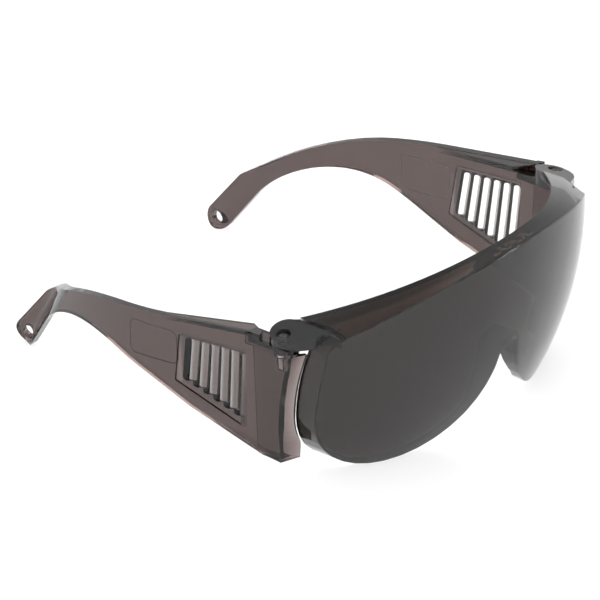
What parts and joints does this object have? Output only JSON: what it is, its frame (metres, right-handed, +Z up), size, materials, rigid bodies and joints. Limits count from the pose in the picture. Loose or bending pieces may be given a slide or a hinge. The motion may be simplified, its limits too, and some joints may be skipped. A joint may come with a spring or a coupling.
{
  "type": "safety glasses",
  "caption": "Wrap-around safety glasses: one tinted lens shield with a brow shelf and a nose notch, and two folding temples with vent slots and a lanyard hole in each ear tip.",
  "frame": {"origin": "centre of the bounding box in plan, on the table the glasses stand on with the temples open", "axes": "+Z up, -Y the way the wearer looks, +Y rearwards along the temples, +X to the right in a view from the front of the glasses"},
  "size_m": [0.145, 0.16, 0.0674],
  "materials": {
    "smoke_polycarbonate": "gloss",
    "smoke_temples": "gloss",
    "pin_nylon": "gloss"
  },
  "bodies": {
    "front": {"front_shield": "smoke_polycarbonate", "left_hinge_pin": "pin_nylon", "right_hinge_pin": "pin_nylon"},
    "left_temple": {"left_temple": "smoke_temples"},
    "right_temple": {"right_temple": "smoke_temples"}
  },
  "joints": [
    {"name": "left_temple_fold", "type": "hinge", "parent": "front", "child": "left_temple", "pos_m": [-0.069, -0.04285, 0.049], "axis": [0, 0, -1], "range_deg": [0, 79]},
    {"name": "right_temple_fold", "type": "hinge", "parent": "front", "child": "right_temple", "pos_m": [0.069, -0.04285, 0.049], "axis": [0, 0, 1], "range_deg": [0, 64]}
  ]
}
